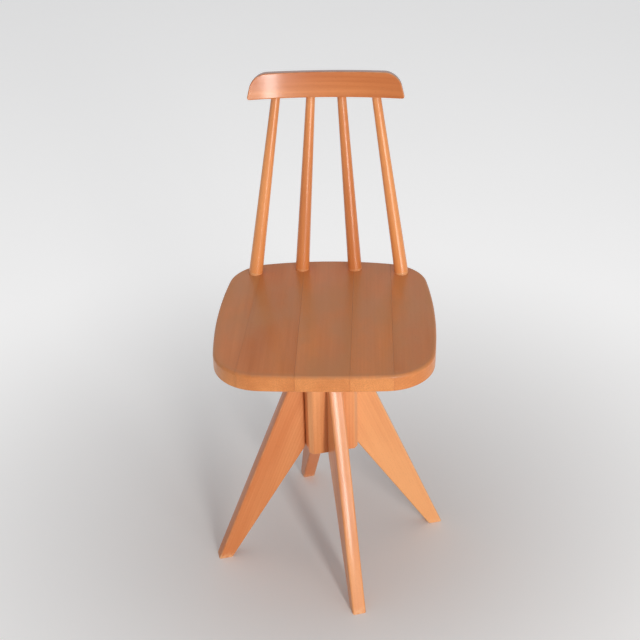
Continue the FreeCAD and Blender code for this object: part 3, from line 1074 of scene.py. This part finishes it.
@dataclass
class Base:
    """Square hub with four plank legs."""

    axis: Vector
    material: bpy.types.Material
    turn: float = math.radians(15)
    hub_width: float = 82 * MM
    hub_cut: float = 6.5 * MM
    hub_end_round: float = 2 * MM
    hub_corner_round: float = 0.6 * MM
    bore_radius: float = 16 * MM
    leg_thickness: float = 22 * MM
    leg_top_depth: float = 17 * MM
    leg_knee_drop: float = 1.5 * MM
    leg_reach: float = 199.86 * MM
    foot_depth: float = 24 * MM
    leg_round: float = 3 * MM
    knee_round: float = 5 * MM
    top_round: float = 4 * MM
    foot_round: float = 1 * MM
    crown: float = 0.7 * MM
    crown_cuts: tuple[float, ...] = (-8.0 * MM, -5.3 * MM, -2.7 * MM, 0.0, 2.7 * MM, 5.3 * MM, 8.0 * MM)
    crown_reach: float = 6 * MM
    grain_shift: float = 1.3
    pith_shift: float = 0.02
    pith_aside: float = 0.045
    bore_facets: int = 48
    hub_end_facets: int = 4
    leg_facets: int = 5
    small_facets: int = 2
    sharp_angle: float = 1.0
    hub_tone: float = 0.05
    # The back leg's darker tone is painted shade.
    tones: tuple[float, ...] = (-0.16, 0.38, 0.20, 0.00)

    def __post_init__(self) -> None:
        """Read the hub's and the legs' levels from the frame."""
        hub_low, hub_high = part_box("hub_block")
        self.hub_bottom = hub_low[2] - self.axis.z
        self.hub_top = hub_high[2] - self.axis.z
        self.leg_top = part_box("leg_right")[1][2] - self.axis.z

    def build(self) -> None:
        """Model and dress the hub and the legs."""
        self._hub()
        for quarter, side in enumerate(("right", "back", "left", "front")):
            self._leg(quarter, f"leg_{side}")

    def _hub(self) -> None:
        """Column with cut corners, eased ends and a bore from end to end."""
        bm = bmesh.new()
        half = self.hub_width / 2
        inset = half - self.hub_cut
        outside = self.bore_radius * 1.5
        corners = []
        for quarter in range(4):
            spin = Matrix.Rotation(math.radians(90 * quarter), 3, "Z")
            for x, y in ((half, -inset), (half, inset)):
                corners.append(bm.verts.new(spin @ Vector((x, y, self.hub_bottom))))
        for first, second in zip(corners, corners[1:] + corners[:1]):
            bm.edges.new((first, second))
        bmesh.ops.create_circle(
            bm,
            segments=self.bore_facets,
            radius=self.bore_radius,
            matrix=Matrix.Translation((0, 0, self.hub_bottom)),
        )
        bmesh.ops.triangle_fill(bm, use_beauty=True, use_dissolve=False, edges=bm.edges[:])
        extruded(bm, Vector((0, 0, self.hub_top - self.hub_bottom)))
        ends = [
            e
            for e in bm.edges
            if rise(e) < SAME_PLACE
            and e.calc_face_angle(0.0) > self.sharp_angle
            and e.verts[0].co.xy.length > outside
        ]
        round_over(bm, ends, self.hub_end_round, self.hub_end_facets)
        upright = [
            e
            for e in bm.edges
            if all(v.co.xy.length > outside for v in e.verts)
            and rise(e) > self.hub_end_round * 2
        ]
        round_over(bm, upright, self.hub_corner_round, self.small_facets)
        piece = WoodPiece(
            "hub_block",
            bm,
            lambda place: Vector((place.z + 7.0, place.x + 0.010, place.y + 0.060)),
            fibre=UP,
            through=UP,
            tone=self.hub_tone,
        )
        place = Matrix.Translation(self.axis) @ Matrix.Rotation(self.turn, 4, "Z")
        piece.finish(place, Body.BASE, "frame_wood", self.material)

    def _leg(self, quarter: int, node: str) -> None:
        """Saw, round and place one leg.

        Args:
            quarter: Quarter turns from the first leg.
            node: Frame node that it stands for.
        """
        half_hub = self.hub_width / 2
        half = self.leg_thickness / 2
        knee = self.hub_bottom - self.leg_knee_drop
        profile = [
            (self.leg_reach - self.foot_depth, 0.0),
            (self.leg_reach, 0.0),
            (half_hub + self.leg_top_depth, self.leg_top),
            (half_hub, self.leg_top),
            (half_hub, knee),
        ]
        bm = bmesh.new()
        bm.faces.new([bm.verts.new((x, -half, z)) for x, z in profile])
        extruded(bm, Vector((0, self.leg_thickness, 0)))
        for corner, radius in ((profile[4], self.knee_round), (profile[2], self.top_round)):
            across = [
                e
                for e in bm.edges
                if all(math.hypot(v.co.x - corner[0], v.co.z - corner[1]) < SAME_PLACE for v in e.verts)
            ]
            round_over(bm, across, radius, self.leg_facets)
        sides = [
            e
            for e in bm.edges
            if run(e) < SAME_PLACE and max(v.co.z for v in e.verts) > self.foot_round
        ]
        round_over(bm, sides, self.leg_round, self.leg_facets)
        round_over(bm, level_edges(bm, 0.0), self.foot_round, self.small_facets)
        for cut in self.crown_cuts:
            sawn(bm, Vector((0, cut, 0)), Vector((0, 1, 0)))
        outer = (Vector((profile[2][0], 0, profile[2][1])) - Vector((self.leg_reach, 0, 0))).normalized()
        out = Vector((outer.z, 0, -outer.x))

        def grain(place: Vector) -> Vector:
            """Grain along the leg's outer edge, with the pith beside the plank."""
            along = place.dot(outer) + self.grain_shift * quarter
            return Vector((along, place.dot(out) - self.pith_shift * quarter, place.y + self.pith_aside))

        corner = Vector((self.leg_reach, 0, 0))

        def crowned(place: Vector) -> Vector:
            """Point of the leg after its outer edge is planed to a slight crown."""
            depth = max(0.0, (corner - place).dot(out))
            share = min(1.0, abs(place.y) / self.crown_cuts[-1]) ** 2
            inward = self.crown * share * max(0.0, 1 - depth / self.crown_reach)
            return place - out * inward if place.z > self.foot_round * 2 else place

        piece = WoodPiece(
            node,
            bm,
            grain,
            fibre=outer,
            through=Vector((0, 1, 0)),
            tone=self.tones[quarter],
            bend=crowned,
        )
        spin = Matrix.Rotation(self.turn + math.radians(90 * quarter), 4, "Z")
        piece.finish(Matrix.Translation(self.axis) @ spin, Body.BASE, "frame_wood", self.material)


@dataclass
class Mechanism:
    """Height screw, nut, flange and fixings, in the frame's own shapes."""

    palette: Palette

    def dress(self) -> None:
        """Give every metal node, and the dowels, its finish."""
        finishes = {
            self.palette.screw: ("height_screw", "screw_nut"),
            self.palette.fixing: ("nut_screws", "flange_screws", "stop_washer", "stop_bolt"),
            self.palette.bronze: ("guide_bush",),
            self.palette.enamel: ("seat_flange",),
            self.palette.dowel: ("leg_dowels",),
        }
        for finish, names in finishes.items():
            material = finish.build()
            for name in names:
                for slot in frame["nodes"][name].material_slots:
                    slot.material = material
                log.info("%s: %s", name, finish.name)


# Studio


@dataclass(frozen=True)
class Lamp:
    """Soft rectangular lamp, placed from the swivel axis on the floor, in metres and watts."""

    name: str
    place: tuple[float, float, float]
    size: tuple[float, float]
    power: float
    colour: Colour

    def build(self, axis: Vector, target: Vector) -> None:
        """Hang the lamp and aim it.

        Args:
            axis: Foot of the swivel axis.
            target: Point that it is aimed at.
        """
        light = bpy.data.lights.new(self.name, "AREA")
        light.shape = "RECTANGLE"
        light.size, light.size_y = self.size
        light.energy = self.power
        light.color = self.colour
        made = bpy.data.objects.new(self.name, light)
        made.location = axis + Vector(self.place)
        made.rotation_euler = (target - made.location).to_track_quat("-Z", "Y").to_euler()
        bpy.context.scene.collection.objects.link(made)


@dataclass
class Studio:
    """Pale floor, soft light and the camera of the photograph."""

    axis: Vector
    image_side: int = 640
    focal_pixels: float = 1229.3
    sensor: float = 36.0
    heading: float = -0.0476
    pitch: float = 0.5284
    roll: float = -0.026
    camera_place: Vector = field(default_factory=lambda: Vector((0.07015, -1.6725, 1.4169)))
    floor_colour: Colour = (0.85, 0.85, 0.85)
    floor_glow: float = 0.40
    floor_glow_front: tuple[float, float] = (-1.9, -0.9)
    floor_glow_span: tuple[float, float] = (0.10, 1.15)
    sky_colour: Colour = (0.86, 0.865, 0.88)
    sky_light: float = 0.36
    sky_shown: float = 0.85
    floor_radius: float = 9.0
    floor_facets: int = 96
    floor_drift: float = 0.96
    aim_height: float = 0.42
    lamps: tuple[Lamp, ...] = (
        Lamp("window at the front right", (1.02, -2.5, 1.0), (0.26, 1.6), 37.0, (1.0, 0.98, 0.95)),
        Lamp("room at the right", (1.75, -2.15, 0.62), (0.8, 0.7), 10.0, (1.0, 0.98, 0.96)),
        Lamp("ceiling", (-0.2, 0.2, 3.0), (2.6, 2.6), 18.0, (1.0, 0.99, 0.98)),
        Lamp("fill at the left", (-2.4, -1.4, 1.3), (1.6, 1.6), 1.5, (0.98, 0.99, 1.0)),
    )

    def build(self) -> None:
        """Set the floor, the light and the camera."""
        self._floor()
        self._sky()
        for lamp in self.lamps:
            lamp.build(self.axis, self.axis + Vector((0, 0, self.aim_height)))
        self._camera()
        bpy.context.scene.view_settings.view_transform = "Standard"

    def _floor(self) -> None:
        """Wide plain floor that meets the sky without an edge."""
        bm = bmesh.new()
        bmesh.ops.create_circle(bm, cap_ends=True, segments=self.floor_facets, radius=self.floor_radius)
        mesh = bpy.data.meshes.new("floor")
        bm.to_mesh(mesh)
        bm.free()
        floor = bpy.data.objects.new("floor", mesh)
        bpy.context.scene.collection.objects.link(floor)
        shader = Shader("pale floor")
        place = shader.node("ShaderNodeTexCoord").outputs["Object"]
        drift = shader.noise(place, (1.5, 1.5, 1.5), 3.0)
        darker = tuple(channel * self.floor_drift for channel in self.floor_colour)
        shader.feed(shader.surface.inputs["Base Color"], shader.mix(drift, self.floor_colour, darker))
        shader.constants(roughness=0.75, specular_ior_level=0.2)
        reach = shader.node("ShaderNodeVectorMath", operation="DISTANCE")
        shader.feed(reach.inputs[0], place)
        shader.feed(reach.inputs[1], self.axis)
        glow = shader.span(reach.outputs["Value"], *self.floor_glow_span, 0.0, self.floor_glow)
        split = shader.node("ShaderNodeSeparateXYZ")
        shader.feed(split.inputs[0], place)
        glow = shader.calc("MULTIPLY", glow, shader.span(split.outputs["Y"], *self.floor_glow_front))
        shader.feed(shader.surface.inputs["Emission Color"], (1.0, 1.0, 1.0, 1.0))
        shader.feed(shader.surface.inputs["Emission Strength"], shader.calc("MULTIPLY", glow, shader.seen()))
        mesh.materials.append(shader.material)

    def _sky(self) -> None:
        """World that is plain and pale to the eye and to gloss, and gentle as light."""
        world = bpy.data.worlds.new("studio")
        bpy.context.scene.world = world
        world.use_nodes = True
        nodes = Nodes(world.node_tree)
        background = nodes.node("ShaderNodeBackground")
        nodes.feed(background.inputs["Color"], (*self.sky_colour, 1.0))
        strength = nodes.span(nodes.seen(), 0.0, 1.0, self.sky_light, self.sky_shown)
        nodes.feed(background.inputs["Strength"], strength)
        output = nodes.node("ShaderNodeOutputWorld")
        nodes.feed(output.inputs["Surface"], background.outputs[0])

    def _camera(self) -> None:
        """Place the camera as it stood for the photograph."""
        ahead = Vector(
            (
                math.sin(self.heading) * math.cos(self.pitch),
                math.cos(self.heading) * math.cos(self.pitch),
                -math.sin(self.pitch),
            )
        )
        level = Vector((math.cos(self.heading), -math.sin(self.heading), 0))
        over = level.cross(ahead)
        right = level * math.cos(self.roll) + over * math.sin(self.roll)
        up = over * math.cos(self.roll) - level * math.sin(self.roll)
        lens = bpy.data.cameras.new("camera")
        lens.sensor_width = self.sensor
        lens.lens = self.sensor * self.focal_pixels / self.image_side
        lens.clip_end = 60.0
        camera = bpy.data.objects.new("camera", lens)
        turn = Matrix((right, up, -ahead)).transposed().to_4x4()
        camera.matrix_world = Matrix.Translation(self.axis + self.camera_place) @ turn
        bpy.context.scene.collection.objects.link(camera)
        bpy.context.scene.camera = camera


def swivel_axis() -> Vector:
    """Foot of the swivel axis on the floor.

    Returns:
        The point below the swivel joint of the frame.
    """
    joint = next(joint for joint in frame["joints"] if joint["name"] == "seat_swivel")
    return Vector((joint["pos_m"][0], joint["pos_m"][1], 0))


def main() -> None:
    """Build and dress the chair and light it."""
    logging.basicConfig(level=logging.INFO, format="%(name)s %(message)s")
    axis = swivel_axis()
    palette = Palette()
    Seat(axis, palette.seat.build()).build()
    Back(axis, palette.back.build()).build()
    Base(axis, palette.base.build()).build()
    Mechanism(palette).dress()
    Studio(axis).build()


if __name__ == "__main__":
    main()
